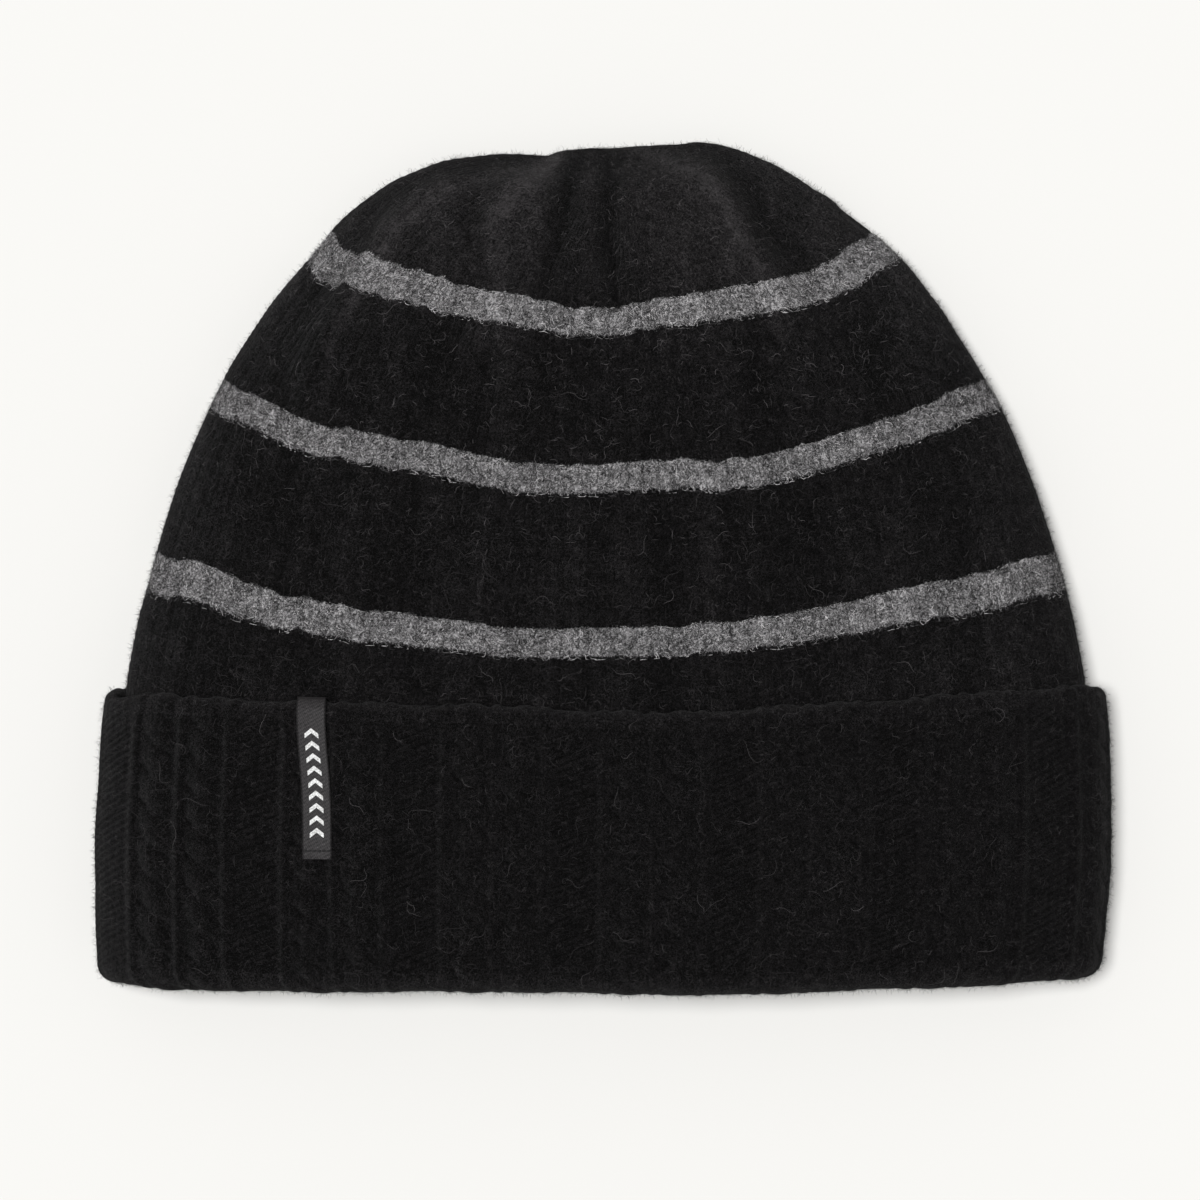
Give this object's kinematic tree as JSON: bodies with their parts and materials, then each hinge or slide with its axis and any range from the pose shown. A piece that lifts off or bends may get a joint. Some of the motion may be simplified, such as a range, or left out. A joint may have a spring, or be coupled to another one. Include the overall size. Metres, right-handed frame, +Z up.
{
  "type": "knit beanie",
  "caption": "Folded-cuff knit beanie lying on its back: striped wool crown, cable-knit cuff, woven loop label and a fleece band inside.",
  "frame": {"origin": "centre of the hat's footprint, on the surface that it lies on", "axes": "+X across the hat, +Y from the folded lower edge to the crown, +Z up from the surface, out of the front with the label"},
  "size_m": [0.241, 0.2026, 0.042],
  "materials": {
    "black_wool": "brushed black wool knit",
    "grey_wool": "heathered mid-grey wool knit",
    "black_fleece": "short-pile fleece",
    "black_thread": "spun polyester thread",
    "label_ribbon": "woven charcoal ribbon with a light woven motif",
    "care_satin": "white satin ribbon",
    "white_thread": "spun polyester thread"
  },
  "bodies": {
    "hat": {"crown_cap": "black_wool", "top_stripe": "grey_wool", "upper_band": "black_wool", "middle_stripe": "grey_wool", "middle_band": "black_wool", "lower_stripe": "grey_wool", "lower_band": "black_wool", "brim_inner_layer": "black_wool", "brim_fold": "black_wool", "cuff": "black_wool", "fleece_band": "black_fleece", "fleece_band_lower_seam": "black_thread", "fleece_band_upper_seam": "black_thread", "woven_label": "label_ribbon", "label_stitches": "black_thread", "back_seam": "black_wool", "crown_closing_yarn": "black_wool", "care_label_hem": "care_satin", "care_label_stitches": "white_thread"},
    "care_label": {"care_label_flap": "care_satin"}
  },
  "joints": [
    {"name": "care_label_hinge", "type": "hinge", "parent": "hat", "child": "care_label", "pos_m": [0.034, -0.0411, 0.0118], "axis": [1, 0, 0], "range_deg": [0, 38]}
  ]
}
